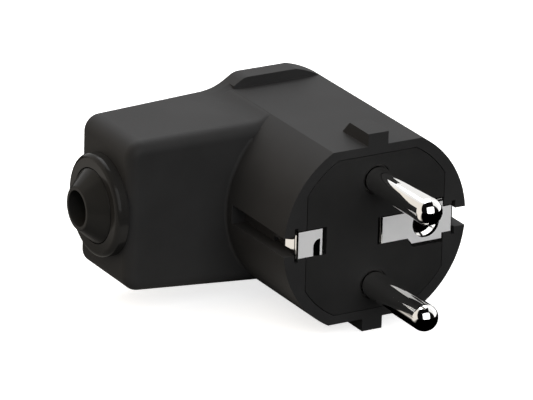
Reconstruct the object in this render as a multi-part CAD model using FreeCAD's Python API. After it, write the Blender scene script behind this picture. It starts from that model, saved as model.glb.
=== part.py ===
import FreeCAD, Part
import math
import os

# Angled two-pole mains plug with side earth contacts, as a re-wirable assembly.
# Millimetres. The origin is the centre of the engagement face, which lies in the plane Y = 0.
# The pins point towards -Y, one above the other along Z. The body runs back along +Y.
# The cable handle leaves the body towards -X.

V = FreeCAD.Vector
X_DIR = V(1, 0, 0)
Y_DIR = V(0, 1, 0)
Z_DIR = V(0, 0, 1)

# Pins, with the terminal that ends each of them
PIN_PITCH = 19.0
PIN_R = 2.4
PIN_LENGTH = 19.0
PIN_ROOT_STEP = 0.2
PIN_ROOT_DEEP = 0.4
PIN_NECK_STEP = 0.3
PIN_ROOT_R = PIN_R + PIN_ROOT_STEP
PIN_NECK_R = PIN_R - PIN_NECK_STEP
TERMINAL_STEP = 0.3
TERMINAL_R = PIN_ROOT_R + TERMINAL_STEP

# Small gaps: between fitted parts, inside the plug, and at the visible parting line
FIT = 0.06
INNER_GAP = 0.17
CARRIER_GAP = 0.13

# Body: a disc with two flats, deep along Y. The flats clear the terminals.
BODY_R = 17.87
BODY_DEPTH = 39.2
TERMINAL_ROOM = 0.62
LEDGE = 0.9
FLAT_WALL = 1.69
CARRIER_Z = PIN_PITCH / 2 + TERMINAL_R + TERMINAL_ROOM + LEDGE
FLAT_Z = CARRIER_Z + FLAT_WALL
BACK_WALL = 2.6
BACK_EDGE_R = 1.0

# Guide ribs at the front, above and below
RIB_WIDTH = 3.91
RIB_LENGTH = 6.3
RIB_TAIL = BODY_R - FLAT_Z

# Cord that the plug is made for, and the sleeves around it from the inside out
CORD_R = 3.0
CORD_ROOM = 0.15
BOOT_WALL = 0.65
BOOT_FIT = 0.1
NECK_WALL = 0.7
NUT_RING = 0.9
BOOT_BORE_R = CORD_R + CORD_ROOM
BOOT_SHANK_R = BOOT_BORE_R + BOOT_WALL
NECK_BORE_R = BOOT_SHANK_R + BOOT_FIT
NECK_R = NECK_BORE_R + NECK_WALL
LOCK_NUT_ACROSS = 2 * (NECK_R + NUT_RING)
LOCK_NUT_THICK = 2.6

# Handle that the cable enters, deep enough for the gland nut
HANDLE_OUT = 18.83
HANDLE_ROOM = 8.5
HANDLE_DROP = 0.91
HANDLE_RISE = 1.37
HANDLE_RISE_END = 3.46
HANDLE_TAPER = 2.4
TAPER_IN = 5.87
HANDLE_REACH = BODY_R + HANDLE_OUT
HANDLE_DEPTH = LOCK_NUT_ACROSS + HANDLE_ROOM
HANDLE_FRONT = BODY_DEPTH - HANDLE_DEPTH
HANDLE_TOP = FLAT_Z - HANDLE_DROP
HANDLE_BOTTOM = FLAT_Z - HANDLE_RISE
HANDLE_BOTTOM_END = FLAT_Z - HANDLE_RISE_END
HANDLE_BACK_END = BODY_DEPTH - HANDLE_TAPER
HANDLE_TAPER_X = TAPER_IN - BODY_R
HANDLE_CORNER_R = 2.8
HANDLE_EDGE_R = 2.1
HANDLE_JOINT_R = 0.5
BLEND_R = 6.5
BLEND_HEAD_R = 2.6
BLEND_SLOPE = 25.0
BLEND_PAST_EDGE = 0.2
BLEND_BELOW_FLAT = 0.04
HANDLE_WALL = 2.2
HANDLE_END_WALL = 2.3

# Grip ridges at the back, above and below, with a ramp down to the handle
RIDGE_SHARE = 0.79
RIDGE_DEPTH = 4.4
RAMP_SHARE = 0.511
RAMP_RUN = 4.8
RAMP_IN = 9.57
RAMP_LEAD = 2.3
RAMP_LAG = 1.7
RAMP_HEAD_R = 3.0
RIDGE_Z = FLAT_Z + RIDGE_SHARE * (BODY_R - FLAT_Z)
RIDGE_FRONT = BODY_DEPTH - RIDGE_DEPTH
RAMP_Z = HANDLE_TOP + RAMP_SHARE * (RIDGE_Z - HANDLE_TOP)
RAMP_X = RAMP_IN - BODY_R
RAMP_FOOT_X = RAMP_X - RAMP_RUN
RAMP_FRONT_FOOT = RIDGE_FRONT - RAMP_LEAD
RAMP_FRONT_HEAD = RIDGE_FRONT + RAMP_LAG

# Earth strip, bent from one ribbon of metal
STRIP_IN = 2.44
STRIP_WIDTH = 4.7
STRIP_THICK = 0.8
STRIP_SHORT_LENGTH = 5.47
STRIP_OUT_X = BODY_R - STRIP_IN
STRIP_LEFT_X = STRIP_SHORT_LENGTH - STRIP_OUT_X
STRIP_RIGHT_X = 1.02
STRIP_BEND_IN = 0.15
STRIP_BEND_OUT = 0.48
STRIP_GAP = 0.15
SCOOP_WIDTH = 1.3
SCOOP_HEIGHT = 3.0
SCOOP_DEPTH = 0.5
SCOOP_FROM_BEND = 0.82

# Legs of the strip: a wide root, then a narrow tongue that bulges into the groove
LEG_SHOULDER = 0.35
LEG_ROOT = 0.75
LEG_CREST = 2.45
LEG_BULGE = 0.74
LEG_BACK = 4.9
LEG_LENGTH = 7.5
TONGUE_ROOT_WIDTH = 2.1
TONGUE_WIDTH = 1.2
TONGUE_ROOT_R = 0.95

# Side grooves for the earth springs of the outlet
GROOVE_WIDTH = 3.4
GROOVE_IN = 2.67
GROOVE_ROOM = 0.32
GROOVE_PAST_LEG = 10.2
GROOVE_LENGTH = LEG_LENGTH + GROOVE_PAST_LEG
SIDE_SLOT_WIDTH = 6.2
SIDE_SLOT_IN = 0.36
SIDE_SLOT_DEPTH = 1.3

# Pin carrier, the insert that fills the front of the body
CARRIER_IN = 2.03
CARRIER_SIDE_IN = 4.5
CARRIER_R = BODY_R - CARRIER_IN
CARRIER_X = BODY_R - CARRIER_SIDE_IN
CARRIER_THICK = 5.2
WINDOW_LEFT = 0.45
WINDOW_RIGHT = 0.52

# Female earth contact, with the wide end of the strip around its mouth
EARTH_IN = 3.37
EARTH_ROOM = 0.1
EARTH_WALL = 0.55
EARTH_END = 17.4
EARTH_SLOT = 0.8
EARTH_SLOT_START = 8.0
EARTH_BOSS_WALL = 1.0
EARTH_BOSS_END = 10.0
EARTH_X = CARRIER_X - EARTH_IN
EARTH_BORE_R = PIN_R + EARTH_ROOM
EARTH_LEAD = 0.4
EARTH_LEAD_LENGTH = 1.1
EARTH_SEAM = 0.4
TAB_HOLE_ROOM = 0.15
TAB_INNER = 3.5
TAB_OUTER = 3.2
TAB_SLOPE = 1.3
TAB_START_X = EARTH_X - TAB_INNER
TAB_END_X = EARTH_X + TAB_OUTER
TAB_WIDTH = 8.0
TAB_EDGE_R = 0.7

# Terminals at the inner ends of the pins
PIN_BOSS_WALL = 1.1
PIN_BOSS_END = 9.0
WIRE_IN = 3.4
WIRE_COVER = 3.6
WIRE_Y = PIN_BOSS_END + WIRE_IN
TERMINAL_END = WIRE_Y + WIRE_COVER
WIRE_R = 1.5
SCREW_R = 1.25
SCREW_RIM = 0.85
SCREW_HEAD_R = SCREW_R + SCREW_RIM
SCREW_HEAD = 1.7
SCREW_LIFT = 0.3
SLOT_WIDTH = 0.7
SLOT_DEPTH = 0.8
GUARD_THICK = 0.3
GUARD_WIDTH = 1.4
GUARD_OFFSET = 0.9
GUARD_LIP = 1.6

# Centre block of the carrier, and the nut and screw that pull it in from the back
NUT_IN = 3.4
NUT_THICK = 2.6
NUT_ACROSS = 6.0
NUT_COVER = 1.8
NUT_SIDE = 1.2
NUT_END = 2.2
NUT_Y = CARRIER_THICK + NUT_IN
CENTRE_WIDTH = NUT_ACROSS + 2 * NUT_SIDE
CENTRE_HEIGHT = NUT_ACROSS + 2 * NUT_END
CENTRE_END = NUT_Y + NUT_THICK + NUT_COVER
FIX_R = 1.75
FIX_PAST_NUT = 1.0
FIX_TIP_Y = NUT_Y - FIX_PAST_NUT
FIX_RIM = 1.55
FIX_HEAD = 2.2
FIX_SINK = 1.8
FIX_ROOM = 0.4
FIX_HEAD_R = FIX_R + FIX_RIM
FIX_RECESS = FIX_HEAD + FIX_SINK
FIX_RECESS_R = FIX_HEAD_R + FIX_ROOM
POST_WALL = 1.5
POST_SOLE = 2.2
POST_R = CENTRE_WIDTH / 2
POST_FOOT_R = FIX_RECESS_R + POST_WALL
POST_FOOT_Y = BODY_DEPTH - FIX_RECESS - POST_SOLE
CROSS_LENGTH = 4.0

# Earth terminal block behind the strip, beside the centre block
EARTH_BLOCK_WIDTH = 3.9
EARTH_BLOCK_DEPTH = 7.4
EARTH_BLOCK_HEIGHT = 6.4
EARTH_BLOCK_GAP = 0.25
EARTH_BLOCK_X = -(POST_R + EARTH_BLOCK_GAP + EARTH_BLOCK_WIDTH / 2)
EARTH_WIRE_R = 1.25
SPIGOT_R = 0.9

# Gland in the end of the handle
GLAND_SHIFT = 0.85
GLAND_Y = HANDLE_FRONT + HANDLE_DEPTH / 2 - GLAND_SHIFT
GLAND_Z = (HANDLE_TOP - HANDLE_BOTTOM_END) / 2
GLAND_R = 9.0
GLAND_OUT = 2.25
GLAND_EDGE_R = 0.9
GLAND_RIM = 2.5
NECK_PAST_NUT = 1.4
NECK_LENGTH = HANDLE_END_WALL + LOCK_NUT_THICK + NECK_PAST_NUT
BOOT_R = GLAND_R - GLAND_RIM
BOOT_SEAT = 1.2
BOOT_LENGTH = 2.95
BOOT_TIP_R = BOOT_BORE_R + BOOT_WALL
BOOT_TIP_EDGE_R = 0.3
BOOT_TAIL = 2.0
BOOT_GAP = 0.15

# Cord clamp on the back of the carrier
CLAMP_IN = 2.97
CLAMP_X = CLAMP_IN - CARRIER_X
CLAMP_WIDTH = 3.6
CLAMP_POST_R = 2.0
CLAMP_POST_GAP = 0.85
CLAMP_SPREAD = BOOT_BORE_R + CLAMP_POST_GAP + CLAMP_POST_R
CLAMP_SADDLE = 8.0
CLAMP_COVER = 1.05
CLAMP_BRIDGE = BOOT_BORE_R + CLAMP_COVER
CLAMP_SCREW_R = 1.1
CLAMP_RIM = 0.7
CLAMP_HEAD_R = CLAMP_SCREW_R + CLAMP_RIM
CLAMP_HEAD = 1.4
CLAMP_SCREW_DEPTH = 7.0

# How far a cutting tool runs past what it cuts, and a joined piece into its neighbour
OVER = 1.0


def box(x0, x1, y0, y1, z0, z1):
    return Part.makeBox(x1 - x0, y1 - y0, z1 - z0, V(x0, y0, z0))


def rod_x(radius, x0, x1, y, z):
    return Part.makeCylinder(radius, x1 - x0, V(x0, y, z), X_DIR)


def rod_y(radius, y0, y1, x=0.0, z=0.0):
    return Part.makeCylinder(radius, y1 - y0, V(x, y0, z), Y_DIR)


def rod_z(radius, z0, z1, x, y):
    return Part.makeCylinder(radius, z1 - z0, V(x, y, z0), Z_DIR)


def segment(a, b):
    return Part.LineSegment(a, b).toShape()


def polygon(points):
    return Part.makePolygon(points + [points[0]])


def prism(wire, direction):
    return Part.Face(wire).extrude(direction)


def rounded_edges(corners):
    """The edges of a closed outline through (point, radius) corners. The last edge closes it."""
    edges = []
    starts = []
    ends = []
    arcs = []
    count = len(corners)
    for i, (point, radius) in enumerate(corners):
        before = (corners[i - 1][0] - point).normalize()
        after = (corners[(i + 1) % count][0] - point).normalize()
        if radius == 0:
            starts.append(point)
            ends.append(point)
            arcs.append(None)
            continue
        half = before.getAngle(after) / 2
        middle = (before + after).normalize()
        centre = point + middle * (radius / math.sin(half))
        start = point + before * (radius / math.tan(half))
        end = point + after * (radius / math.tan(half))
        starts.append(start)
        ends.append(end)
        arcs.append(Part.Arc(start, centre - middle * radius, end).toShape())
    for i in range(count):
        if arcs[i] is not None:
            edges.append(arcs[i])
        edges.append(segment(ends[i], starts[(i + 1) % count]))
    return edges


def rounded_wire(corners):
    return Part.Wire(rounded_edges(corners))


def ribbon_wire(path, thick, inner_r, outer_r):
    """The outline of a ribbon of even thickness that is bent along a path in the plane of the path."""
    near = []
    far = []
    for i, point in enumerate(path):
        directions = []
        if i > 0:
            directions.append((point - path[i - 1]).normalize())
        if i < len(path) - 1:
            directions.append((path[i + 1] - point).normalize())
        normals = [V(-d.y, d.x, 0) for d in directions]
        if len(normals) == 1:
            near.append((point + normals[0] * (thick / 2), 0))
            far.append((point - normals[0] * (thick / 2), 0))
            continue
        shift = (normals[0] + normals[1]) * (thick / 2 / (1 + normals[0].dot(normals[1])))
        left_turn = directions[0].cross(directions[1]).z > 0
        near.append((point + shift, inner_r if left_turn else outer_r))
        far.append((point - shift, outer_r if left_turn else inner_r))
    return rounded_wire(near + far[::-1])


def turned(profile, base, axis):
    """A solid of revolution from a closed profile."""
    return Part.Face(profile).revolve(base, axis, 360)


def flatted_disc(radius, y0, y1, z_limit, x_limit):
    """A disc along Y that is cut off above, below and at both sides."""
    return rod_y(radius, y0, y1).common(box(-x_limit, x_limit, y0, y1, -z_limit, z_limit))


def edges_where(shape, test):
    return [edge for edge in shape.Edges if test(edge)]


def slot_cut(x, y, z, length):
    """The tool that cuts a driver slot into a screw head whose top is at Y = y."""
    return box(x - length, x + length, y - SLOT_DEPTH, y + OVER, z - SLOT_WIDTH / 2, z + SLOT_WIDTH / 2)


def slotted_screw(x, z, tip_y, seat_y, shank_r, head_r, head):
    """A slotted cheese-head screw along Y with its head at the back."""
    shank = rod_y(shank_r, tip_y, seat_y + head / 2, x, z)
    screw = shank.fuse(rod_y(head_r, seat_y, seat_y + head, x, z))
    return screw.removeSplitter().cut(slot_cut(x, seat_y + head, z, head_r + OVER))


# Housing

def handle_bottom(x):
    """How far below the axis the underside of the handle lies at a given X."""
    slope = (HANDLE_BOTTOM - HANDLE_BOTTOM_END) / (HANDLE_REACH + RAMP_FOOT_X)
    return HANDLE_BOTTOM_END + (x + HANDLE_REACH) * slope


def handle_wedge(inset):
    """What the slanted back of the handle takes off, moved inwards for the inside."""
    back = BODY_DEPTH - inset
    slope = (BODY_DEPTH - HANDLE_BACK_END) / (HANDLE_REACH + HANDLE_TAPER_X)
    end_x = -HANDLE_REACH - OVER
    end_y = back - slope * (HANDLE_TAPER_X - end_x)
    height = BODY_R + OVER
    wire = polygon([V(HANDLE_TAPER_X, back, -height), V(end_x, end_y, -height),
                    V(end_x, back + OVER, -height), V(HANDLE_TAPER_X, back + OVER, -height)])
    return prism(wire, Z_DIR * (2 * height))


def handle_corners(x, y):
    """The outline of the handle from X = x at its top, round its end, to X = x at its bottom."""
    return [(V(x, y, HANDLE_TOP), 0),
            (V(-HANDLE_REACH, y, HANDLE_TOP), HANDLE_CORNER_R),
            (V(-HANDLE_REACH, y, -handle_bottom(-HANDLE_REACH)), HANDLE_CORNER_R),
            (V(x, y, -handle_bottom(x)), 0)]


def handle_solid():
    """The handle up to the ridge. Its top rises in a hollow curve to the edge of the upper flat."""
    y = HANDLE_FRONT
    slope = math.radians(BLEND_SLOPE)
    level_x = BLEND_PAST_EDGE - math.sqrt(BODY_R ** 2 - FLAT_Z ** 2)
    level_z = FLAT_Z - BLEND_BELOW_FLAT
    head_x = level_x - BLEND_HEAD_R * math.tan(slope / 2)
    foot_x = head_x - (level_z - HANDLE_TOP) / math.tan(slope)
    blend = [(V(0, y, level_z), 0),
             (V(head_x, y, level_z), BLEND_HEAD_R),
             (V(foot_x, y, HANDLE_TOP), BLEND_R)]
    wire = rounded_wire(blend + handle_corners(0, y)[1:])
    solid = prism(wire, Y_DIR * (RIDGE_FRONT - HANDLE_FRONT))
    front = edges_where(solid, lambda e: abs(e.BoundBox.YMax - y) < 0.001 and e.BoundBox.XMin < -0.001)
    return solid.makeFillet(HANDLE_EDGE_R, front)


def handle_room():
    """The hollow of the handle."""
    x0 = -HANDLE_REACH + HANDLE_END_WALL
    x1 = -POST_R
    y = HANDLE_FRONT + HANDLE_WALL
    top = HANDLE_TOP - HANDLE_WALL
    wire = polygon([V(x1, y, top), V(x0, y, top),
                    V(x0, y, HANDLE_WALL - handle_bottom(x0)), V(x1, y, HANDLE_WALL - handle_bottom(x1))])
    room = prism(wire, Y_DIR * (BODY_DEPTH - BACK_WALL - y))
    return room.cut(handle_wedge(BACK_WALL))


def ramp_angle():
    """The slope at which the hollow foot of the ramp ends, since it starts level with the handle."""
    return 2 * math.atan((RAMP_Z - HANDLE_TOP) / RAMP_RUN)


def ramp_foot(side, y):
    """The hollow curve with which the ramp leaves the handle, as start, middle and end."""
    foot = HANDLE_TOP if side > 0 else HANDLE_BOTTOM
    start = V(RAMP_FOOT_X, y, side * foot)
    end = V(RAMP_X, y, side * RAMP_Z)
    across = V(start.z - end.z, 0, end.x - start.x).normalize()
    sag = start.distanceToPoint(end) / 2 * math.tan(ramp_angle() / 4)
    return start, (start + end) / 2 - across * (side * sag), end


def ramp_edges(side, y):
    """The S-shaped ramp from the handle up to the ridge, and the point where it ends."""
    angle = ramp_angle()
    start, middle, end = ramp_foot(side, y)
    head_z = RIDGE_Z - RAMP_HEAD_R * (1 - math.cos(angle))
    head_x = RAMP_X + (head_z - RAMP_Z) / math.tan(angle)
    top_x = head_x + RAMP_HEAD_R * math.sin(angle)
    bend_x = top_x - RAMP_HEAD_R * math.sin(angle / 2)
    bend_z = RIDGE_Z - RAMP_HEAD_R * (1 - math.cos(angle / 2))
    head = V(head_x, y, side * head_z)
    top = V(top_x, y, side * RIDGE_Z)
    edges = [Part.Arc(start, middle, end).toShape(), segment(end, head),
             Part.Arc(head, V(bend_x, y, side * bend_z), top).toShape()]
    return edges, top


def back_outline(y):
    """The outline of the back: the handle's end, two ramps, two ridges and the round side."""
    edges = rounded_edges(handle_corners(RAMP_FOOT_X, y))[:-1]
    crest_x = math.sqrt(BODY_R ** 2 - RIDGE_Z ** 2)
    for side in (1, -1):
        ramp, top = ramp_edges(side, y)
        edges += ramp
        edges.append(segment(top, V(crest_x, y, side * RIDGE_Z)))
    round_side = Part.Arc(V(crest_x, y, RIDGE_Z), V(BODY_R, y, 0), V(crest_x, y, -RIDGE_Z))
    edges.append(round_side.toShape())
    return Part.Wire(Part.__sortEdges__(edges))


def back_slab():
    """The back of the body and handle with its rounded rear edge."""
    y0 = RAMP_FRONT_FOOT
    slab = prism(back_outline(y0), Y_DIR * (BODY_DEPTH - y0)).cut(handle_wedge(0))
    slab = slab.removeSplitter()
    slab = slab.makeFillet(BACK_EDGE_R, edges_where(slab, is_back_edge))
    reach = BODY_R + OVER
    return slab.cut(box(RAMP_FOOT_X, reach, y0 - OVER, RAMP_FRONT_HEAD, -reach, reach))


def ramp_lead(side):
    """The slanted front of a ramp, from the level of the handle up to the full ramp."""
    inside = HANDLE_TOP - 2 * OVER
    start, middle, end = ramp_foot(side, RAMP_FRONT_HEAD)
    low_start = V(RAMP_FOOT_X, RAMP_FRONT_FOOT, start.z)
    low_end = V(RAMP_X, RAMP_FRONT_FOOT, start.z)
    corner = V(RAMP_X, RAMP_FRONT_HEAD, side * inside)
    far_corner = V(RAMP_FOOT_X, RAMP_FRONT_HEAD, side * inside)
    high = Part.Wire([Part.Arc(start, middle, end).toShape(), segment(end, corner),
                      segment(corner, far_corner), segment(far_corner, start)])
    low = polygon([low_start, low_end, V(RAMP_X, RAMP_FRONT_FOOT, side * inside),
                   V(RAMP_FOOT_X, RAMP_FRONT_FOOT, side * inside)])
    return Part.makeLoft([low, high], True, True)


def outer_body():
    """The housing as a solid block, without its ribs."""
    reach = BODY_R + OVER
    disc = flatted_disc(BODY_R, 0, RAMP_FRONT_HEAD + OVER, FLAT_Z, reach)
    ridges = prism(back_outline(RIDGE_FRONT), Y_DIR * (RAMP_FRONT_HEAD + OVER - RIDGE_FRONT))
    ridges = ridges.common(box(RAMP_X, reach, RIDGE_FRONT, BODY_DEPTH, -reach, reach))
    core_wire = rounded_wire(handle_corners(0, RIDGE_FRONT - OVER))
    core = prism(core_wire, Y_DIR * (RAMP_FRONT_HEAD - RIDGE_FRONT + OVER))
    core = core.common(box(RAMP_FOOT_X, 0, 0, BODY_DEPTH, -reach, reach))
    solids = [handle_solid(), core, ridges, ramp_lead(1), ramp_lead(-1), back_slab()]
    return disc.fuse(solids).removeSplitter()


def rib(side):
    """One guide rib, full height at the front and sloped down at its tail."""
    z_in = FLAT_Z - OVER
    points = [V(-RIB_WIDTH / 2, 0, side * z_in), V(-RIB_WIDTH / 2, 0, side * BODY_R),
              V(-RIB_WIDTH / 2, RIB_LENGTH, side * BODY_R),
              V(-RIB_WIDTH / 2, RIB_LENGTH + RIB_TAIL, side * FLAT_Z),
              V(-RIB_WIDTH / 2, RIB_LENGTH + RIB_TAIL, side * z_in)]
    return prism(polygon(points), X_DIR * RIB_WIDTH)


def joint_bead():
    """The small hollow fillet where the front of the handle meets the round body."""
    r = HANDLE_JOINT_R
    x = -BODY_R
    y = HANDLE_FRONT
    bury = 2 * r
    slant = r * (1 - math.sqrt(0.5))
    start = V(x, y - r, 0)
    end = V(x - r, y, 0)
    wire = Part.Wire([
        Part.Arc(start, V(x - slant, y - slant, 0), end).toShape(),
        segment(end, V(x - r, y + bury, 0)),
        segment(V(x - r, y + bury, 0), V(x + bury, y + bury, 0)),
        segment(V(x + bury, y + bury, 0), V(x + bury, y - r, 0)),
        segment(V(x + bury, y - r, 0), start),
    ])
    up = math.degrees(math.asin((HANDLE_TOP - HANDLE_EDGE_R) / (BODY_R + r)))
    down_z = handle_bottom(-BODY_R) - HANDLE_EDGE_R
    down = math.degrees(math.asin(down_z / (BODY_R + r)))
    bead = Part.Face(wire).revolve(V(0, 0, 0), Y_DIR, up + down)
    bead.rotate(V(0, 0, 0), Y_DIR, -down)
    return bead


def leg_room(side):
    """The groove in one side of the body, deeper at the front where it takes a leg of the earth strip."""
    x_in = STRIP_OUT_X - STRIP_THICK - STRIP_GAP
    x_slot = STRIP_OUT_X + GROOVE_ROOM
    x_out = BODY_R + OVER
    half = STRIP_WIDTH / 2 + STRIP_GAP
    groove_half = GROOVE_WIDTH / 2
    slot_half = SIDE_SLOT_WIDTH / 2
    groove = box(BODY_R - GROOVE_IN, x_out, -OVER, GROOVE_LENGTH, -groove_half, groove_half)
    pocket = box(x_in, x_out, -OVER, LEG_LENGTH + STRIP_GAP, -groove_half, groove_half)
    root_room = box(x_in, x_slot, -OVER, SIDE_SLOT_DEPTH, -half, half)
    slot = box(STRIP_OUT_X - SIDE_SLOT_IN, x_slot, -OVER, SIDE_SLOT_DEPTH, -slot_half, slot_half)
    notch = box(CARRIER_X - OVER, x_in + OVER / 2, -OVER, STRIP_THICK + STRIP_GAP, -half, half)
    room = groove.fuse([pocket, root_room, slot, notch])
    if side < 0:
        room = room.mirror(V(0, 0, 0), X_DIR)
    return room


def housing():
    shape = outer_body().fuse([rib(1), rib(-1), joint_bead()]).removeSplitter()
    pocket = flatted_disc(CARRIER_R + CARRIER_GAP, -OVER, CARRIER_THICK,
                          CARRIER_Z + CARRIER_GAP, CARRIER_X + CARRIER_GAP)
    room = flatted_disc(CARRIER_R - LEDGE, CARRIER_THICK - OVER, BODY_DEPTH - BACK_WALL,
                        CARRIER_Z - LEDGE, CARRIER_X + CARRIER_GAP)
    shape = shape.cut(pocket.fuse([room, handle_room()]))
    post_end = BODY_DEPTH - BACK_WALL / 2
    post = rod_y(POST_R, CENTRE_END, post_end).fuse(rod_y(POST_FOOT_R, POST_FOOT_Y, post_end))
    shape = shape.fuse(post)
    seat = BODY_DEPTH - FIX_RECESS
    end_x = -HANDLE_REACH
    holes = [rod_y(FIX_R + 3 * FIT, CENTRE_END - OVER, BODY_DEPTH + OVER),
             rod_y(FIX_RECESS_R, seat, BODY_DEPTH + OVER),
             rod_x(NECK_R + FIT, end_x - OVER, end_x + HANDLE_END_WALL + OVER, GLAND_Y, GLAND_Z),
             leg_room(1), leg_room(-1)]
    return shape.cut(holes).removeSplitter()


def is_back_edge(edge):
    """Whether an edge is part of the outline of the back of the body and handle."""
    slope = (BODY_DEPTH - HANDLE_BACK_END) / (HANDLE_REACH + HANDLE_TAPER_X)
    points = [v.Point for v in edge.Vertexes]
    if len(points) == 0:
        return False
    for p in points:
        back = BODY_DEPTH - slope * max(0.0, HANDLE_TAPER_X - p.x)
        if abs(p.y - back) > 0.01:
            return False
    spread = edge.BoundBox
    across = abs(spread.XMin - HANDLE_TAPER_X) < 0.01 and abs(spread.XMax - HANDLE_TAPER_X) < 0.01
    return not across


# Front insert and its contacts

def pin_places():
    return (PIN_PITCH / 2, -PIN_PITCH / 2)


def strip_path():
    """The middle line of the earth strip, from the end of one leg to the end of the other."""
    half = STRIP_THICK / 2
    leg_x = STRIP_OUT_X - half
    cross_y = CARRIER_THICK + INNER_GAP + half
    left_x = STRIP_LEFT_X - half
    right_x = STRIP_RIGHT_X + half
    crest_x = leg_x + LEG_BULGE
    leg = [(leg_x, LEG_LENGTH), (leg_x, LEG_BACK), (crest_x, LEG_CREST), (leg_x, LEG_ROOT), (leg_x, half)]
    middle = [(right_x, half), (right_x, cross_y), (left_x, cross_y), (left_x, half)]
    points = leg + middle + [(-x, y) for x, y in reversed(leg)]
    return [V(x, y, 0) for x, y in points]


def tab_shape(y0, y1, grow):
    """The wide end of the longer plate, with sloped shoulders."""
    narrow = STRIP_WIDTH / 2 + grow
    wide = TAB_WIDTH / 2 + grow
    x0 = TAB_START_X - grow
    x1 = TAB_END_X + grow
    outline = [(x0, narrow), (x0 + TAB_SLOPE, wide), (x1, wide),
               (x1, -wide), (x0 + TAB_SLOPE, -wide), (x0, -narrow)]
    return prism(polygon([V(x, y0, z) for x, z in outline]), Y_DIR * (y1 - y0))


def is_tab_edge(edge):
    """Whether an edge is the front one along the top or the bottom of the tab."""
    spread = edge.BoundBox
    return spread.YMax < 0.01 and spread.ZLength < 0.01 and abs(abs(spread.ZMin) - TAB_WIDTH / 2) < 0.01


def earth_strip():
    wire = ribbon_wire(strip_path(), STRIP_THICK, STRIP_BEND_IN, STRIP_BEND_OUT)
    wire.translate(V(0, 0, -STRIP_WIDTH / 2))
    strip = prism(wire, Z_DIR * STRIP_WIDTH)
    tab = tab_shape(0, STRIP_THICK, 0)
    strip = strip.fuse(tab.makeFillet(TAB_EDGE_R, edges_where(tab, is_tab_edge))).removeSplitter()
    hole = rod_y(EARTH_BORE_R + TAB_HOLE_ROOM, -OVER, STRIP_THICK + OVER, EARTH_X, 0)
    spigot_hole = rod_y(SPIGOT_R + FIT, CARRIER_THICK, CARRIER_THICK + STRIP_THICK + OVER, EARTH_BLOCK_X, 0)
    cuts = [hole, spigot_hole, bend_scoop()]
    cuts += [tongue_cut(x_side, z_side) for x_side in (1, -1) for z_side in (1, -1)]
    return strip.cut(cuts).removeSplitter()


def tongue_cut(x_side, z_side):
    """What is cut off one edge of a leg, with a round shoulder, so that its tongue tapers into the groove."""
    z_root = z_side * TONGUE_ROOT_WIDTH / 2
    z_in = z_side * TONGUE_WIDTH / 2
    z_out = z_side * (STRIP_WIDTH / 2 + OVER)
    x = x_side * (STRIP_OUT_X - STRIP_THICK - OVER)
    y0 = LEG_SHOULDER
    y1 = LEG_LENGTH + OVER
    corners = [(V(x, y0, z_out), 0), (V(x, y0, z_root), TONGUE_ROOT_R), (V(x, LEG_CREST, z_in), 0),
               (V(x, y1, z_in), 0), (V(x, y1, z_out), 0)]
    return prism(rounded_wire(corners), X_DIR * (x_side * (STRIP_THICK + LEG_BULGE + 3 * OVER)))


def bend_scoop():
    """The arched mark in a lower corner of the shorter plate. It deepens away from the bend."""
    x1 = STRIP_LEFT_X - SCOOP_FROM_BEND
    x0 = x1 - SCOOP_WIDTH
    bottom = -STRIP_WIDTH / 2
    top = bottom + SCOOP_HEIGHT
    arch = box(x0, x1, -OVER, STRIP_THICK, bottom - OVER, top - SCOOP_WIDTH)
    arch = arch.fuse(rod_y(SCOOP_WIDTH, -OVER, STRIP_THICK, x1, top - SCOOP_WIDTH))
    low = bottom - 2 * OVER
    wedge = polygon([V(x0, SCOOP_DEPTH, low), V(x1, 0, low), V(x1, -OVER, low), V(x0, -OVER, low)])
    return arch.common(prism(wedge, Z_DIR * (SCOOP_HEIGHT + 3 * OVER)))


def strip_channels():
    """What the carrier leaves free for the strip: two shallow channels, two windows and the tab's recess."""
    half = STRIP_WIDTH / 2 + STRIP_GAP
    deep = STRIP_THICK + STRIP_GAP
    reach = CARRIER_X + OVER
    left = box(-reach, STRIP_LEFT_X, -OVER, deep, -half, half)
    right = box(STRIP_RIGHT_X, reach, -OVER, deep, -half, half)
    tab = tab_shape(-OVER, deep, STRIP_GAP)
    through = CARRIER_THICK + OVER
    left_inner = STRIP_LEFT_X - STRIP_THICK - STRIP_GAP
    right_inner = STRIP_RIGHT_X + STRIP_THICK + STRIP_GAP
    window_left = box(left_inner, STRIP_LEFT_X + WINDOW_LEFT, -OVER, through, -half, half)
    window_right = box(STRIP_RIGHT_X - WINDOW_RIGHT, right_inner, -OVER, through, -half, half)
    return [left, right, tab, window_left, window_right]


def centre_block():
    """The block behind the carrier that holds the nut, with a tunnel for the strip."""
    width = CENTRE_WIDTH / 2
    height = CENTRE_HEIGHT / 2
    block = box(-width, width, CARRIER_THICK - OVER, CENTRE_END, -height, height)
    half = STRIP_WIDTH / 2 + STRIP_GAP
    tunnel_end = CARRIER_THICK + 2 * INNER_GAP + STRIP_THICK
    tunnel = box(-width - OVER, width + OVER, CARRIER_THICK, tunnel_end, -half, half)
    nut_half = NUT_ACROSS / 2 + FIT
    nut_room = box(-width - OVER, nut_half, NUT_Y - FIT, NUT_Y + NUT_THICK + FIT, -nut_half, nut_half)
    hole = rod_y(FIX_R + 3 * FIT, FIX_TIP_Y - INNER_GAP, CENTRE_END + OVER)
    return block.cut([tunnel, nut_room, hole])


def clamp_screw_places():
    return (GLAND_Z + CLAMP_SPREAD, GLAND_Z - CLAMP_SPREAD)


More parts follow.
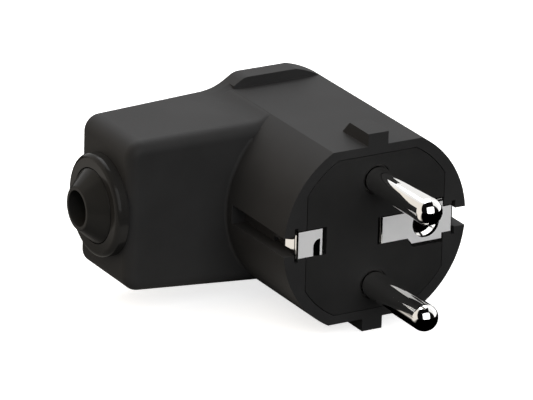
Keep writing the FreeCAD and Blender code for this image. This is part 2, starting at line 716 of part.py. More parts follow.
def clamp_saddle():
    """The two posts and the web between them that carry the cord clamp."""
    x0 = CLAMP_X - CLAMP_WIDTH / 2
    x1 = CLAMP_X + CLAMP_WIDTH / 2
    upper, lower = clamp_screw_places()
    web = box(x0, x1, GLAND_Y - CLAMP_SADDLE, GLAND_Y, lower, upper)
    web = web.cut(rod_x(BOOT_BORE_R, x0 - OVER, x1 + OVER, GLAND_Y, GLAND_Z))
    posts = [rod_y(CLAMP_POST_R, CARRIER_THICK - OVER, GLAND_Y, CLAMP_X, z) for z in (upper, lower)]
    saddle = web.fuse(posts).removeSplitter()
    saddle = saddle.common(rod_y(CARRIER_R - LEDGE - INNER_GAP, 0, BODY_DEPTH))
    depth = GLAND_Y - CLAMP_SCREW_DEPTH - FIT
    holes = [rod_y(CLAMP_SCREW_R + FIT, depth, GLAND_Y + OVER, CLAMP_X, z) for z in (upper, lower)]
    return saddle.cut(holes)


def pin_carrier():
    plate = flatted_disc(CARRIER_R, 0, CARRIER_THICK, CARRIER_Z, CARRIER_X)
    boss_r = TERMINAL_R + FIT + PIN_BOSS_WALL
    inner_in = LEDGE + INNER_GAP
    inner = flatted_disc(CARRIER_R - inner_in, 0, BODY_DEPTH, CARRIER_Z - inner_in, CARRIER_X)
    bosses = [rod_y(boss_r, CARRIER_THICK - OVER, PIN_BOSS_END, 0, z).common(inner) for z in pin_places()]
    earth_r = EARTH_BORE_R + EARTH_WALL + FIT
    earth_boss = rod_y(earth_r + EARTH_BOSS_WALL, CARRIER_THICK - OVER, EARTH_BOSS_END, EARTH_X)
    earth_boss = earth_boss.common(inner)
    shape = plate.fuse(bosses + [earth_boss, centre_block(), clamp_saddle()]).removeSplitter()
    cuts = strip_channels()
    cuts.append(rod_y(earth_r, -OVER, EARTH_BOSS_END + OVER, EARTH_X, 0))
    for z in pin_places():
        cuts.append(rod_y(PIN_ROOT_R + FIT, -OVER, CARRIER_THICK + OVER, 0, z))
        cuts.append(rod_y(TERMINAL_R + FIT, CARRIER_THICK, PIN_BOSS_END + OVER, 0, z))
    return shape.cut(cuts).removeSplitter()


def pin(z):
    """One pin: a round end, a short neck behind the face, a thicker root, and its screw terminal."""
    tip = PIN_LENGTH - PIN_R
    corner = PIN_R * math.sqrt(0.5)
    base = V(0, 0, z)

    def at(r, y):
        return base + V(r, y, 0)

    wire = Part.Wire([
        Part.Arc(at(0, -PIN_LENGTH), at(corner, -tip - corner), at(PIN_R, -tip)).toShape(),
        segment(at(PIN_R, -tip), at(PIN_R, 0)),
        segment(at(PIN_R, 0), at(PIN_NECK_R, 0)),
        segment(at(PIN_NECK_R, 0), at(PIN_NECK_R, PIN_ROOT_DEEP)),
        segment(at(PIN_NECK_R, PIN_ROOT_DEEP), at(PIN_ROOT_R, PIN_ROOT_DEEP)),
        segment(at(PIN_ROOT_R, PIN_ROOT_DEEP), at(PIN_ROOT_R, CARRIER_THICK)),
        segment(at(PIN_ROOT_R, CARRIER_THICK), at(TERMINAL_R, CARRIER_THICK)),
        segment(at(TERMINAL_R, CARRIER_THICK), at(TERMINAL_R, TERMINAL_END)),
        segment(at(TERMINAL_R, TERMINAL_END), at(0, TERMINAL_END)),
        segment(at(0, TERMINAL_END), at(0, -PIN_LENGTH)),
    ])
    shape = turned(wire, base, Y_DIR)
    wire_hole = rod_x(WIRE_R, -TERMINAL_R - OVER, TERMINAL_R + OVER, WIRE_Y, z)
    screw_hole = rod_y(SCREW_R + FIT, WIRE_Y, TERMINAL_END + OVER, 0, z)
    return shape.cut([wire_hole, screw_hole])


def terminal_screw(z):
    tip = WIRE_Y + GUARD_OFFSET + GUARD_THICK + FIT
    return slotted_screw(0, z, tip, TERMINAL_END + SCREW_LIFT, SCREW_R, SCREW_HEAD_R, SCREW_HEAD)


def wire_guard(z):
    """The thin leaf between a terminal screw and its wire, bent up where it leaves the hole."""
    y = WIRE_Y + GUARD_OFFSET
    lip_x = TERMINAL_R + FIT
    half = GUARD_WIDTH / 2
    leaf = box(-TERMINAL_R, lip_x + GUARD_THICK, y, y + GUARD_THICK, z - half, z + half)
    lip = box(lip_x, lip_x + GUARD_THICK, y, y + GUARD_LIP, z - half, z + half)
    return leaf.fuse(lip).removeSplitter()


def earth_socket():
    """The rolled sleeve behind the strip, with an open seam below and two spring slots."""
    outer = EARTH_BORE_R + EARTH_WALL
    start = STRIP_THICK
    axis = V(EARTH_X, start, 0)
    tube = rod_y(outer, start, EARTH_END, EARTH_X, 0)
    bore = rod_y(EARTH_BORE_R, start - OVER, EARTH_END + OVER, EARTH_X, 0)
    lead = Part.makeCone(EARTH_BORE_R + EARTH_LEAD, EARTH_BORE_R, EARTH_LEAD_LENGTH, axis, Y_DIR)
    end = EARTH_END + OVER
    reach = outer + OVER
    half = EARTH_SLOT / 2
    slots = box(EARTH_X - reach, EARTH_X + reach, EARTH_SLOT_START, end, -half, half)
    half = EARTH_SEAM / 2
    seam = box(EARTH_X - half, EARTH_X + half, start - OVER, end, -reach, 0)
    return tube.cut([bore, lead, slots, seam])


def earth_terminal():
    front = CARRIER_THICK + INNER_GAP + STRIP_THICK
    back = front + EARTH_BLOCK_DEPTH
    x0 = EARTH_BLOCK_X - EARTH_BLOCK_WIDTH / 2
    x1 = EARTH_BLOCK_X + EARTH_BLOCK_WIDTH / 2
    half = EARTH_BLOCK_HEIGHT / 2
    block = box(x0, x1, front, back, -half, half)
    spigot = rod_y(SPIGOT_R, front - STRIP_THICK, front + OVER, EARTH_BLOCK_X, 0)
    hole = rod_z(EARTH_WIRE_R, -half - OVER, half + OVER, EARTH_BLOCK_X, earth_wire_y())
    screw = rod_y(SCREW_R + FIT, earth_wire_y(), back + OVER, EARTH_BLOCK_X, 0)
    return block.fuse(spigot).removeSplitter().cut([hole, screw])


def earth_wire_y():
    return CARRIER_THICK + INNER_GAP + STRIP_THICK + EARTH_BLOCK_DEPTH / 2


def earth_terminal_screw():
    back = CARRIER_THICK + INNER_GAP + STRIP_THICK + EARTH_BLOCK_DEPTH
    tip = earth_wire_y() + EARTH_WIRE_R / 2
    head_r = EARTH_BLOCK_WIDTH / 2
    return slotted_screw(EARTH_BLOCK_X, 0, tip, back + SCREW_LIFT, SCREW_R, head_r, SCREW_HEAD)


def carrier_nut():
    half = NUT_ACROSS / 2
    nut = box(-half, half, NUT_Y, NUT_Y + NUT_THICK, -half, half)
    return nut.cut(rod_y(FIX_R + FIT, NUT_Y - OVER, NUT_Y + NUT_THICK + OVER))


def housing_screw():
    """The long screw from the back, with a cross recess in its head."""
    seat = BODY_DEPTH - FIX_RECESS
    top = seat + FIX_HEAD
    shank = rod_y(FIX_R, FIX_TIP_Y, seat + FIX_HEAD / 2)
    head = rod_y(FIX_HEAD_R, seat, top)
    rim = edges_where(head, lambda e: e.BoundBox.YMin > top - 0.001)
    head = head.makeFillet(FIX_HEAD / 3, rim)
    length = CROSS_LENGTH / 2
    width = SLOT_WIDTH / 2
    cross = [box(-length, length, top - 2 * SLOT_DEPTH, top + OVER, -width, width),
             box(-width, width, top - 2 * SLOT_DEPTH, top + OVER, -length, length)]
    return shank.fuse(head).removeSplitter().cut(cross)


# Cord clamp

def cord_clamp():
    """The bridge that holds the cord down on the saddle."""
    x0 = CLAMP_X - CLAMP_WIDTH / 2
    x1 = CLAMP_X + CLAMP_WIDTH / 2
    upper, lower = clamp_screw_places()
    bridge = box(x0, x1, GLAND_Y, GLAND_Y + CLAMP_BRIDGE, lower - CLAMP_POST_R, upper + CLAMP_POST_R)
    corners = edges_where(bridge, lambda e: e.BoundBox.XLength > CLAMP_WIDTH / 2
                          and e.BoundBox.YMin > GLAND_Y + OVER)
    bridge = bridge.makeFillet(CLAMP_POST_R / 2, corners)
    cuts = [rod_x(BOOT_BORE_R, x0 - OVER, x1 + OVER, GLAND_Y, GLAND_Z)]
    for z in (upper, lower):
        cuts.append(rod_y(CLAMP_SCREW_R + FIT, GLAND_Y - OVER, GLAND_Y + CLAMP_BRIDGE + OVER, CLAMP_X, z))
    return bridge.cut(cuts)


def clamp_screw(z):
    return slotted_screw(CLAMP_X, z, GLAND_Y - CLAMP_SCREW_DEPTH, GLAND_Y + CLAMP_BRIDGE,
                         CLAMP_SCREW_R, CLAMP_HEAD_R, CLAMP_HEAD)


# Gland

def gland_point(x, r):
    return V(x, GLAND_Y, GLAND_Z + r)


def gland_turned(wire):
    return turned(wire, V(0, GLAND_Y, GLAND_Z), X_DIR)


def gland_ring():
    face = -HANDLE_REACH - GLAND_OUT
    seat = face + BOOT_SEAT
    end = -HANDLE_REACH + NECK_LENGTH
    wire = rounded_wire([
        (gland_point(face, BOOT_R + BOOT_GAP), 0),
        (gland_point(face, GLAND_R), GLAND_EDGE_R),
        (gland_point(-HANDLE_REACH, GLAND_R), 0),
        (gland_point(-HANDLE_REACH, NECK_R), 0),
        (gland_point(end, NECK_R), 0),
        (gland_point(end, NECK_BORE_R), 0),
        (gland_point(seat, NECK_BORE_R), 0),
        (gland_point(seat, BOOT_R + BOOT_GAP), 0),
    ])
    return gland_turned(wire)


def gland_nut():
    """The hexagonal nut inside the handle, with two flats towards its front and back walls."""
    x0 = -HANDLE_REACH + HANDLE_END_WALL
    reach = LOCK_NUT_ACROSS / 2 / math.cos(math.radians(30))
    points = []
    for i in range(6):
        angle = math.radians(30 + 60 * i)
        points.append(V(x0, GLAND_Y + reach * math.cos(angle), GLAND_Z + reach * math.sin(angle)))
    nut = prism(polygon(points), X_DIR * LOCK_NUT_THICK)
    return nut.cut(rod_x(NECK_R + FIT, x0 - OVER, x0 + LOCK_NUT_THICK + OVER, GLAND_Y, GLAND_Z))


def cable_boot():
    """The soft cone that seals the cord."""
    face = -HANDLE_REACH - GLAND_OUT
    seat = face + BOOT_SEAT
    tip = face - BOOT_LENGTH
    end = -HANDLE_REACH + NECK_LENGTH + BOOT_TAIL
    wire = rounded_wire([
        (gland_point(tip, BOOT_BORE_R), 0),
        (gland_point(tip, BOOT_TIP_R), BOOT_TIP_EDGE_R),
        (gland_point(face, BOOT_R), BOOT_TIP_EDGE_R),
        (gland_point(seat, BOOT_R), 0),
        (gland_point(seat, BOOT_SHANK_R), 0),
        (gland_point(end, BOOT_SHANK_R), 0),
        (gland_point(end, BOOT_BORE_R), 0),
    ])
    return gland_turned(wire)


def parts():
    upper_pin, lower_pin = pin_places()
    upper_clamp, lower_clamp = clamp_screw_places()
    return {
        "housing": housing(),
        "pin_carrier": pin_carrier(),
        "live_pin": pin(upper_pin),
        "neutral_pin": pin(lower_pin),
        "live_terminal_screw": terminal_screw(upper_pin),
        "neutral_terminal_screw": terminal_screw(lower_pin),
        "live_wire_guard": wire_guard(upper_pin),
        "neutral_wire_guard": wire_guard(lower_pin),
        "earth_strip": earth_strip(),
        "earth_socket": earth_socket(),
        "earth_terminal": earth_terminal(),
        "earth_terminal_screw": earth_terminal_screw(),
        "carrier_nut": carrier_nut(),
        "housing_screw": housing_screw(),
        "cord_clamp": cord_clamp(),
        "upper_clamp_screw": clamp_screw(upper_clamp),
        "lower_clamp_screw": clamp_screw(lower_clamp),
        "gland_ring": gland_ring(),
        "gland_nut": gland_nut(),
        "cable_boot": cable_boot(),
    }


os.makedirs("parts", exist_ok=True)
for name, shape in parts().items():
    shape.exportStep("parts/" + name + ".step")
    print(name, "solids", len(shape.Solids), "valid", shape.isValid(), "volume", round(shape.Volume, 1))
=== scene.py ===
from math import cos, pi, radians, sin, tan

import bpy
from mathutils import Matrix, Vector


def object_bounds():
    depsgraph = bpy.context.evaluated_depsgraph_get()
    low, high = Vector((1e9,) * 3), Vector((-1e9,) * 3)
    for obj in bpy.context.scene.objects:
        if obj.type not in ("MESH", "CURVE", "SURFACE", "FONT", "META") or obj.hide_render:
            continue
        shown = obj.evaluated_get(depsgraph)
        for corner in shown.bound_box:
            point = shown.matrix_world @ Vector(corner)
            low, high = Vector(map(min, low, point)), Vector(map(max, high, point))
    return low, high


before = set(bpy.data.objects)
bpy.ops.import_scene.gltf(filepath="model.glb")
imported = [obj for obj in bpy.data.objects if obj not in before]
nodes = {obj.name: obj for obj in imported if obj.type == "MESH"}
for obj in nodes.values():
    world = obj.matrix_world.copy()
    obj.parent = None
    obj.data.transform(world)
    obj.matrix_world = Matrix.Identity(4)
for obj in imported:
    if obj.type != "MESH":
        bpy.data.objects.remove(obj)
cad_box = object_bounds()

MM = 0.001
UNIT = (0.0, 1.0)
FALLING = (1.0, 0.0)
WHITE = (1.0, 1.0, 1.0)
FORWARD = (0.0, -1.0, 0.0)
BACKWARD = (0.0, 1.0, 0.0)
ALONG_FLOOR = (1.0, 1.0, 0.0)


# Shader helpers

NOISE_DETAIL = 3.0
GRAIN_BREAKUP = 0.6
MOST_OF_NOISE = (0.3, 0.7)
BEVEL_SAMPLES = 6
EDGE_AGREEMENT = (0.995, 0.8)


def new_material(name):
    material = bpy.data.materials.new(name)
    material.use_nodes = True
    tree = material.node_tree
    tree.nodes.clear()
    output = tree.nodes.new("ShaderNodeOutputMaterial")
    shader = tree.nodes.new("ShaderNodeBsdfPrincipled")
    tree.links.new(shader.outputs["BSDF"], output.inputs["Surface"])
    return material, tree, shader


def feed(tree, socket, value):
    """Link another node's output to a socket, or set a plain number, vector or colour on it."""
    if isinstance(value, bpy.types.NodeSocket):
        tree.links.new(value, socket)
    elif socket.type == "RGBA":
        socket.default_value = (*value, 1.0)
    else:
        socket.default_value = value


def number_math(tree, operation, a, b):
    node = tree.nodes.new("ShaderNodeMath")
    node.operation = operation
    feed(tree, node.inputs[0], a)
    feed(tree, node.inputs[1], b)
    return node.outputs["Value"]


def product(tree, *factors):
    result = factors[0]
    for factor in factors[1:]:
        result = number_math(tree, "MULTIPLY", result, factor)
    return result


def vector_math(tree, operation, a, b=None):
    node = tree.nodes.new("ShaderNodeVectorMath")
    node.operation = operation
    feed(tree, node.inputs[0], a)
    if b is not None:
        feed(tree, node.inputs["Scale" if operation == "SCALE" else 1], b)
    return node.outputs["Value" if operation in ("DOT_PRODUCT", "LENGTH") else "Vector"]


def remap(tree, value, source, target=UNIT):
    """Carry one range of a number over to another, and hold it at the ends."""
    node = tree.nodes.new("ShaderNodeMapRange")
    feed(tree, node.inputs["Value"], value)
    for socket, limit in zip(("From Min", "From Max", "To Min", "To Max"), (*source, *target)):
        node.inputs[socket].default_value = limit
    return node.outputs["Result"]


def blend_colour(tree, factor, low, high):
    """Give low where factor is 0, and high where it is 1."""
    node = tree.nodes.new("ShaderNodeMix")
    node.data_type = "RGBA"
    feed(tree, node.inputs["Factor"], factor)
    for socket, value in zip([s for s in node.inputs if s.type == "RGBA"], (low, high)):
        feed(tree, socket, value)
    return [s for s in node.outputs if s.type == "RGBA"][0]


def tinted(colour, factor):
    return tuple(min(1.0, c * factor) for c in colour)


def position_mm(tree):
    """The place on the object in millimetres, in the part's frame."""
    coords = tree.nodes.new("ShaderNodeTexCoord")
    return vector_math(tree, "SCALE", coords.outputs["Object"], 1 / MM)


def depth_of(tree, place):
    """How far a place lies behind the engagement face."""
    return vector_math(tree, "DOT_PRODUCT", place, BACKWARD)


def noise(tree, vector, scale, breakup=0.5):
    node = tree.nodes.new("ShaderNodeTexNoise")
    node.inputs["Scale"].default_value = scale
    node.inputs["Detail"].default_value = NOISE_DETAIL
    node.inputs["Roughness"].default_value = breakup
    feed(tree, node.inputs["Vector"], vector)
    return node.outputs["Fac"]


def drawn_grain(tree, place, stretch, scale):
    """Fine grain, drawn out along each axis whose stretch is under 1."""
    return noise(tree, vector_math(tree, "MULTIPLY", place, stretch), scale, GRAIN_BREAKUP)


def uneven(tree, rough, cloud, cloud_swing, grain, grain_swing):
    """A roughness that swings both ways about rough, with the clouds and with the grain."""
    clouded = remap(tree, cloud, MOST_OF_NOISE, (rough - cloud_swing, rough + cloud_swing))
    grainy = remap(tree, grain, MOST_OF_NOISE, (-grain_swing, grain_swing))
    return number_math(tree, "ADD", clouded, grainy)


def bump(tree, height, rise, normal=None):
    """Raise the surface by rise, in millimetres, where height is 1."""
    node = tree.nodes.new("ShaderNodeBump")
    node.inputs["Strength"].default_value = 1.0
    node.inputs["Distance"].default_value = rise * MM
    feed(tree, node.inputs["Height"], height)
    if normal is not None:
        feed(tree, node.inputs["Normal"], normal)
    return node.outputs["Normal"]


def soft_edges(tree, radius):
    node = tree.nodes.new("ShaderNodeBevel")
    node.samples = BEVEL_SAMPLES
    node.inputs["Radius"].default_value = radius * MM
    return node.outputs["Normal"]


def edge_mask(tree, rounded):
    """Near 1 on sharp edges, 0 on open faces."""
    geometry = tree.nodes.new("ShaderNodeNewGeometry")
    agreement = vector_math(tree, "DOT_PRODUCT", geometry.outputs["Normal"], rounded)
    return remap(tree, agreement, EDGE_AGREEMENT)


# Plastics and rubber, with places and depths in millimetres and noise scales per millimetre

FLOW_SCALE = 0.11
FLOW_RANGE = (0.35, 0.65)
FLOW_TINT = 0.10
FLOW_ROUGH_SWING = 0.04
SPECK_TINT = 1.18
SPECK_SHARE = (0.0, 0.35)
SPECK_ROUGH_SWING = 0.03
RUBBED_TINT = 1.6
RUBBED_SHARE = (0.25, 0.6)


def moulded(name, colour, rough, gloss, grain=5.0, depth=0.006, edge=0.10):
    """Moulded plastic with a fine spark-eroded grain, faint flow marks and rubbed edges."""
    material, tree, shader = new_material(name)
    place = position_mm(tree)
    rounded = soft_edges(tree, edge)
    flow = noise(tree, place, FLOW_SCALE)
    fine = noise(tree, place, grain, GRAIN_BREAKUP)
    dark, light = tinted(colour, 1 - FLOW_TINT), tinted(colour, 1 + FLOW_TINT)
    base = blend_colour(tree, remap(tree, flow, FLOW_RANGE), dark, light)
    speck = remap(tree, fine, MOST_OF_NOISE, SPECK_SHARE)
    base = blend_colour(tree, speck, base, tinted(colour, SPECK_TINT))
    rubbed = product(tree, edge_mask(tree, rounded), remap(tree, flow, MOST_OF_NOISE, RUBBED_SHARE))
    base = blend_colour(tree, rubbed, base, tinted(colour, RUBBED_TINT))
    roughness = uneven(tree, rough, flow, FLOW_ROUGH_SWING, fine, SPECK_ROUGH_SWING)
    feed(tree, shader.inputs["Base Color"], base)
    feed(tree, shader.inputs["Roughness"], roughness)
    feed(tree, shader.inputs["Specular IOR Level"], gloss)
    feed(tree, shader.inputs["Normal"], bump(tree, fine, depth, rounded))
    return material


# Metals, in the same units

# These three are shares of a metal's own roughness.
STAIN_SWING = 0.15
METAL_GRAIN_SWING = 0.2
SLEEVE_GRAIN_SWING = 0.1

STAIN_SCALE = 0.35
METAL_EDGE = 0.05
# Painted shade for a pin's neck in the gap just behind the engagement face: its dark colour, the roughness
# it adds, and the depths where it fades in and out.
NECK_SHADE_COLOUR = (0.13, 0.127, 0.123)
NECK_SHADE_ROUGH = 0.6
NECK_FRONT = (-0.02, 0.02)
NECK_BACK = (0.45, 0.5)


def metal(name, colour, rough, stretch, grain, depth, tint=0.04, painted_neck_shade=False):
    """Plated or bare metal with a fine grain, drawn out or even, and slight staining.

    painted_neck_shade paints shade on the neck of a pin, in the gap around it just behind the engagement
    face, as darker and rougher metal.
    """
    material, tree, shader = new_material(name)
    place = position_mm(tree)
    drawn = drawn_grain(tree, place, stretch, grain)
    stain = noise(tree, place, STAIN_SCALE)
    stained, clean = tinted(colour, 1 - tint), tinted(colour, 1 + tint)
    base = blend_colour(tree, remap(tree, stain, MOST_OF_NOISE), stained, clean)
    roughness = uneven(tree, rough, stain, STAIN_SWING * rough, drawn, METAL_GRAIN_SWING * rough)
    # Painted shade: the pin's neck, in the gap behind the engagement face, is made darker and rougher.
    if painted_neck_shade:
        depth_behind = depth_of(tree, place)
        neck = product(tree, remap(tree, depth_behind, NECK_FRONT),
                       remap(tree, depth_behind, NECK_BACK, FALLING))
        base = blend_colour(tree, neck, base, NECK_SHADE_COLOUR)
        roughness = number_math(tree, "ADD", roughness, product(tree, neck, NECK_SHADE_ROUGH))
    feed(tree, shader.inputs["Base Color"], base)
    feed(tree, shader.inputs["Metallic"], 1.0)
    feed(tree, shader.inputs["Roughness"], roughness)
    feed(tree, shader.inputs["Normal"], bump(tree, drawn, depth, soft_edges(tree, METAL_EDGE)))
    return material


MOUTH = (0.7, 2.0)
MOUTH_RISE = 0.85
SLEEVE_STAIN_TINT = 0.94
SLEEVE_STRETCH = (1.0, 0.2, 1.0)
SLEEVE_GRAIN = 4.0
SLEEVE_GRAIN_DEPTH = 0.0004


def rolled(name, colour, rough):
    """Plated sleeve rolled from sheet, with a mouth that was coined wide from the front."""
    material, tree, shader = new_material(name)
    place = position_mm(tree)
    drawn = drawn_grain(tree, place, SLEEVE_STRETCH, SLEEVE_GRAIN)
    stain = noise(tree, place, STAIN_SCALE)
    stained = tinted(colour, SLEEVE_STAIN_TINT)
    base = blend_colour(tree, remap(tree, stain, MOST_OF_NOISE), stained, colour)
    roughness = uneven(tree, rough, stain, STAIN_SWING * rough, drawn, SLEEVE_GRAIN_SWING * rough)
    coined = bump(tree, remap(tree, depth_of(tree, place), MOUTH), MOUTH_RISE)
    feed(tree, shader.inputs["Base Color"], base)
    feed(tree, shader.inputs["Metallic"], 1.0)
    feed(tree, shader.inputs["Roughness"], roughness)
    feed(tree, shader.inputs["Normal"], bump(tree, drawn, SLEEVE_GRAIN_DEPTH, coined))
    return material


FLAT_FACING = (0.985, 0.998)
FLAT_DEPTH = (0.01, 0.04)
SATIN_METAL = 0.04
SATIN_ROUGH = 0.50
POLISHED_ROUGH = 0.09
STRIP_ROUGH_SWING = 0.02
STRIP_STAIN_SCALE = 0.45
POLISHED_STAIN_TINT = 0.96
SATIN_STAIN_TINT = 0.975
STRIP_STRETCH = (0.3, 0.3, 1.0)
STRIP_GRAIN = 7.0
STRIP_GRAIN_DEPTH = 0.0002


def stamped(name, colour, flat_colour):
    """Stamped and plated strip with satin flats, and bends and cut edges polished by the tool."""
    material, tree, shader = new_material(name)
    place = position_mm(tree)
    coords = tree.nodes.new("ShaderNodeTexCoord")
    facing_forward = vector_math(tree, "DOT_PRODUCT", coords.outputs["Normal"], FORWARD)
    flat = product(tree, remap(tree, facing_forward, FLAT_FACING),
                   remap(tree, depth_of(tree, place), FLAT_DEPTH, FALLING))
    stain = remap(tree, noise(tree, place, STRIP_STAIN_SCALE), MOST_OF_NOISE)
    fine = drawn_grain(tree, place, STRIP_STRETCH, STRIP_GRAIN)
    polished = blend_colour(tree, stain, tinted(colour, POLISHED_STAIN_TINT), colour)
    satin = blend_colour(tree, stain, tinted(flat_colour, SATIN_STAIN_TINT), flat_colour)
    roughness = remap(tree, flat, UNIT, (POLISHED_ROUGH, SATIN_ROUGH))
    grainy = remap(tree, fine, MOST_OF_NOISE, (-STRIP_ROUGH_SWING, STRIP_ROUGH_SWING))
    feed(tree, shader.inputs["Base Color"], blend_colour(tree, flat, polished, satin))
    feed(tree, shader.inputs["Metallic"], remap(tree, flat, UNIT, (1.0, SATIN_METAL)))
    feed(tree, shader.inputs["Roughness"], number_math(tree, "ADD", roughness, grainy))
    feed(tree, shader.inputs["Normal"], bump(tree, fine, STRIP_GRAIN_DEPTH))
    return material


# The materials of the nodes

DRAWN_FAR = (1.0, 0.05, 1.0)
DRAWN_OUT = (1.0, 0.1, 1.0)
EVEN = (1.0, 1.0, 1.0)


def dress(material, *names):
    for name in names:
        for slot in nodes[name].material_slots:
            slot.link = "OBJECT"
            slot.material = material


dress(moulded("housing_plastic", (0.0308, 0.0306, 0.0308), rough=0.55, gloss=0.12), "housing")
dress(moulded("carrier_plastic", (0.0258, 0.0256, 0.0254), rough=0.55, gloss=0.10), "pin_carrier")
dress(moulded("clamp_plastic", (0.0300, 0.0295, 0.0290), rough=0.58, gloss=0.13), "cord_clamp")
dress(moulded("gland_plastic", (0.0215, 0.0208, 0.0198), rough=0.13, gloss=0.10,
              grain=7.0, depth=0.0006, edge=0.15),
      "gland_ring", "gland_nut")
dress(moulded("boot_rubber", (0.0228, 0.0222, 0.0208), rough=0.21, gloss=0.06,
              grain=6.0, depth=0.001, edge=0.15),
      "cable_boot")
dress(metal("pin_nickel", (0.86, 0.85, 0.83), rough=0.045, stretch=DRAWN_FAR,
            grain=4.0, depth=0.0004, tint=0.02, painted_neck_shade=True),
      "live_pin", "neutral_pin")
dress(stamped("earth_plate", (0.88, 0.87, 0.85), flat_colour=WHITE), "earth_strip")
dress(rolled("sleeve_nickel", (0.90, 0.89, 0.86), rough=0.12), "earth_socket")
dress(metal("contact_brass", (0.72, 0.54, 0.24), rough=0.22, stretch=DRAWN_OUT, grain=5.0, depth=0.001),
      "live_wire_guard", "neutral_wire_guard", "earth_terminal")
dress(metal("screw_steel", (0.56, 0.56, 0.55), rough=0.26, stretch=EVEN, grain=3.0, depth=0.001),
      "live_terminal_screw", "neutral_terminal_screw", "earth_terminal_screw", "carrier_nut",
      "housing_screw", "upper_clamp_screw", "lower_clamp_screw")


# Stage

# In metal the surround is white at the sides and behind, and cream on the side of the handle, where
# the floor shows too. The side of the studio in front of the pins stays dark.

CREAM = (0.92, 0.87, 0.80)


def shiny_rays(tree, path):
    """1 for rays that show the background in metal or glass."""
    return number_math(tree, "MAXIMUM", path.outputs["Is Glossy Ray"], path.outputs["Is Transmission Ray"])


# Floor

FLOOR_Z = cad_box[0][2]
FLOOR_SIZE = 8.0
FLOOR_BOUNCE = 0.03
FLOOR_GLOW = 0.72
PIN_TIPS = (0.0, -0.017, 0.0)
GLOW_REACH = (0.03, 0.30)
UNDER_HANDLE = (-0.024, 0.050, 0.0)
SHADE_REACH = (0.030, 0.044)
SHADE_LEVEL = 0.35

# Metal shows the floor only where it is inside all three lines. A line has a point on it, the way
# inward, and half the width over which it fades.
LINES_ON_FLOOR = [
    ((0.0, -0.008, 0.0), (-0.12, 0.993, 0.0), 0.005),
    ((-0.005, 0.0, 0.0), (-0.866, -0.5, 0.0), 0.005),
    ((-0.016, 0.0, 0.0), (-1.0, 0.0, 0.0), 0.004),
]


def side_of(tree, place, point, inward, soft):
    """0 on one side of a line on the floor and 1 on the side that inward points to."""
    offset = vector_math(tree, "SUBTRACT", place, point)
    return remap(tree, vector_math(tree, "DOT_PRODUCT", offset, inward), (-soft, soft))


def distance_on_floor(tree, place, point):
    offset = vector_math(tree, "SUBTRACT", place, point)
    return vector_math(tree, "LENGTH", vector_math(tree, "MULTIPLY", offset, ALONG_FLOOR))


def floor_material():
    """White to the camera, with the object's shadow, and dim for light thrown up at the plug.

    In metal it is cream on the side of the handle, dimmer in the handle's shade, and dark elsewhere.
    """
    material, tree, shader = new_material("floor")
    place = tree.nodes.new("ShaderNodeNewGeometry").outputs["Position"]
    path = tree.nodes.new("ShaderNodeLightPath")
    camera_ray, glossy_ray = path.outputs["Is Camera Ray"], path.outputs["Is Glossy Ray"]
    colour = blend_colour(tree, glossy_ray, WHITE, CREAM)

    bounce = product(tree, path.outputs["Is Diffuse Ray"], FLOOR_BOUNCE)
    lit = number_math(tree, "MAXIMUM", camera_ray, bounce)
    feed(tree, shader.inputs["Base Color"], vector_math(tree, "SCALE", colour, lit))
    feed(tree, shader.inputs["Roughness"], 1.0)
    feed(tree, shader.inputs["Specular IOR Level"], 0.0)

    inside = [side_of(tree, place, *line) for line in LINES_ON_FLOOR]
    shade = remap(tree, distance_on_floor(tree, place, UNDER_HANDLE), SHADE_REACH, (SHADE_LEVEL, 1.0))
    in_metal = product(tree, shiny_rays(tree, path), *inside, shade)
    seen = number_math(tree, "MAXIMUM", camera_ray, in_metal)
    glow = remap(tree, distance_on_floor(tree, place, PIN_TIPS), GLOW_REACH, (FLOOR_GLOW, 1.0))
    glow = number_math(tree, "MAXIMUM", glow, glossy_ray)
    feed(tree, shader.inputs["Emission Color"], colour)
    feed(tree, shader.inputs["Emission Strength"], product(tree, seen, glow))
    return material


bpy.ops.mesh.primitive_plane_add(size=FLOOR_SIZE, location=(0, 0, FLOOR_Z))
floor = bpy.context.object
floor.name = "floor"
floor.data.materials.append(floor_material())


# Lamps

LIT_CENTRE = Vector((-0.010, 0.010, 0.0))


def softbox(name, around, up, distance, wide, high, level, colour=WHITE, in_metal=True):
    """A rectangular lamp, placed and sized by angles in degrees. level sets how bright its face is.

    around is 0 in front of the pins, -90 on the side of the handle and 180 behind.
    """
    turn, lift = radians(around), radians(up)
    direction = Vector((sin(turn) * cos(lift), -cos(turn) * cos(lift), sin(lift)))
    lamp = bpy.data.lights.new(name, "AREA")
    lamp.shape = "RECTANGLE"
    lamp.size = 2 * distance * tan(radians(wide / 2))
    lamp.size_y = 2 * distance * tan(radians(high / 2))
    lamp.energy = level * pi * lamp.size * lamp.size_y
    lamp.color = colour
    holder = bpy.data.objects.new(name, lamp)
    bpy.context.scene.collection.objects.link(holder)
    holder.location = LIT_CENTRE + direction * distance
    holder.rotation_euler = (-direction).to_track_quat("-Z", "Y").to_euler()
    holder.visible_camera = False
    holder.visible_glossy = in_metal


softbox("key", around=170, up=62, distance=0.55, wide=46, high=44, level=2.5,
        colour=(0.94, 0.965, 1.0))
softbox("left", around=-116, up=38, distance=0.60, wide=64, high=54, level=1.22,
        colour=(1.0, 0.85, 0.68), in_metal=False)
softbox("right", around=84, up=31, distance=0.60, wide=52, high=62, level=1.05)
softbox("front", around=-9, up=28, distance=0.60, wide=56, high=50, level=2.12)


# Surround

# The middles of the dark front and of the cream side, each with the agreement at which it fades in.
FRONT_AIR = (-0.12, -0.81, 0.57)
FRONT_EDGE = (0.23, 0.27)
LEFT_AIR = (-0.88, 0.43, 0.17)
LEFT_EDGE = (0.72, 0.76)
DIM_AIR = (0.03, 0.03, 0.03)
DIM_AIR_IN_METAL = (0.004, 0.004, 0.004)


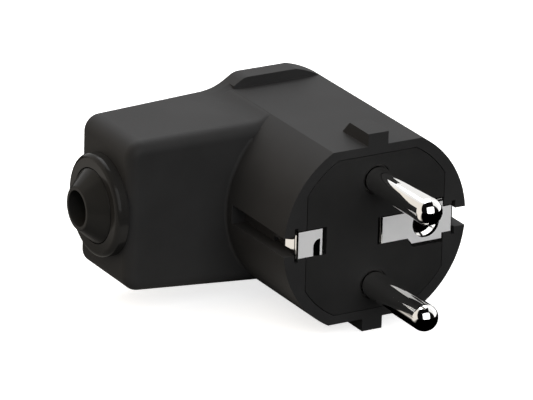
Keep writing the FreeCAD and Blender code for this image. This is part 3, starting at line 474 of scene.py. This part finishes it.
def surround():
    """White to the camera, dim as a light, and in metal white, cream at the handle and dark in front."""
    world = bpy.data.worlds.new("studio")
    world.use_nodes = True
    tree = world.node_tree
    tree.nodes.clear()
    output = tree.nodes.new("ShaderNodeOutputWorld")
    background = tree.nodes.new("ShaderNodeBackground")
    tree.links.new(background.outputs["Background"], output.inputs["Surface"])
    direction = tree.nodes.new("ShaderNodeTexCoord").outputs["Generated"]
    path = tree.nodes.new("ShaderNodeLightPath")
    camera_ray, glossy_ray = path.outputs["Is Camera Ray"], path.outputs["Is Glossy Ray"]

    toward_front = vector_math(tree, "DOT_PRODUCT", direction, FRONT_AIR)
    in_metal = product(tree, shiny_rays(tree, path), remap(tree, toward_front, FRONT_EDGE, FALLING))
    seen = number_math(tree, "MAXIMUM", camera_ray, in_metal)
    toward_left = vector_math(tree, "DOT_PRODUCT", direction, LEFT_AIR)
    cream_side = product(tree, remap(tree, toward_left, LEFT_EDGE), glossy_ray)
    bright_air = blend_colour(tree, cream_side, WHITE, CREAM)
    dim_air = blend_colour(tree, glossy_ray, DIM_AIR, DIM_AIR_IN_METAL)
    feed(tree, background.inputs["Color"], blend_colour(tree, seen, dim_air, bright_air))
    return world


bpy.context.scene.world = surround()


# Camera at the photograph's angle

# It stands TURN round from the front of the pins to the handle's side and LIFT above the level,
# and ROLL raises its right side.
TURN = radians(30.28347)
LIFT = radians(20.96929)
ROLL = radians(1.63944)
LOOKS_AT = Vector((-0.009178, 0.021019, 0.0))
CAMERA_DISTANCE = 0.938735
LENS = 370.06
SENSOR_WIDTH = 36.0
CLIP_START = 0.01
CLIP_END = 20.0

away = Vector((sin(TURN) * cos(LIFT), cos(TURN) * cos(LIFT), -sin(LIFT)))
level_right = away.cross(Vector((0.0, 0.0, 1.0))).normalized()
level_up = level_right.cross(away)
right = level_right * cos(ROLL) + level_up * sin(ROLL)
up = right.cross(away)
turned = Matrix((right, up, -away)).transposed().to_4x4()

camera_data = bpy.data.cameras.new("camera")
camera = bpy.data.objects.new("camera", camera_data)
bpy.context.scene.collection.objects.link(camera)
camera.matrix_world = Matrix.Translation(LOOKS_AT - away * CAMERA_DISTANCE) @ turned
camera_data.sensor_fit = "HORIZONTAL"
camera_data.sensor_width = SENSOR_WIDTH
camera_data.lens = LENS
camera_data.clip_start = CLIP_START
camera_data.clip_end = CLIP_END
bpy.context.scene.camera = camera
bpy.context.scene.view_settings.view_transform = "Standard"
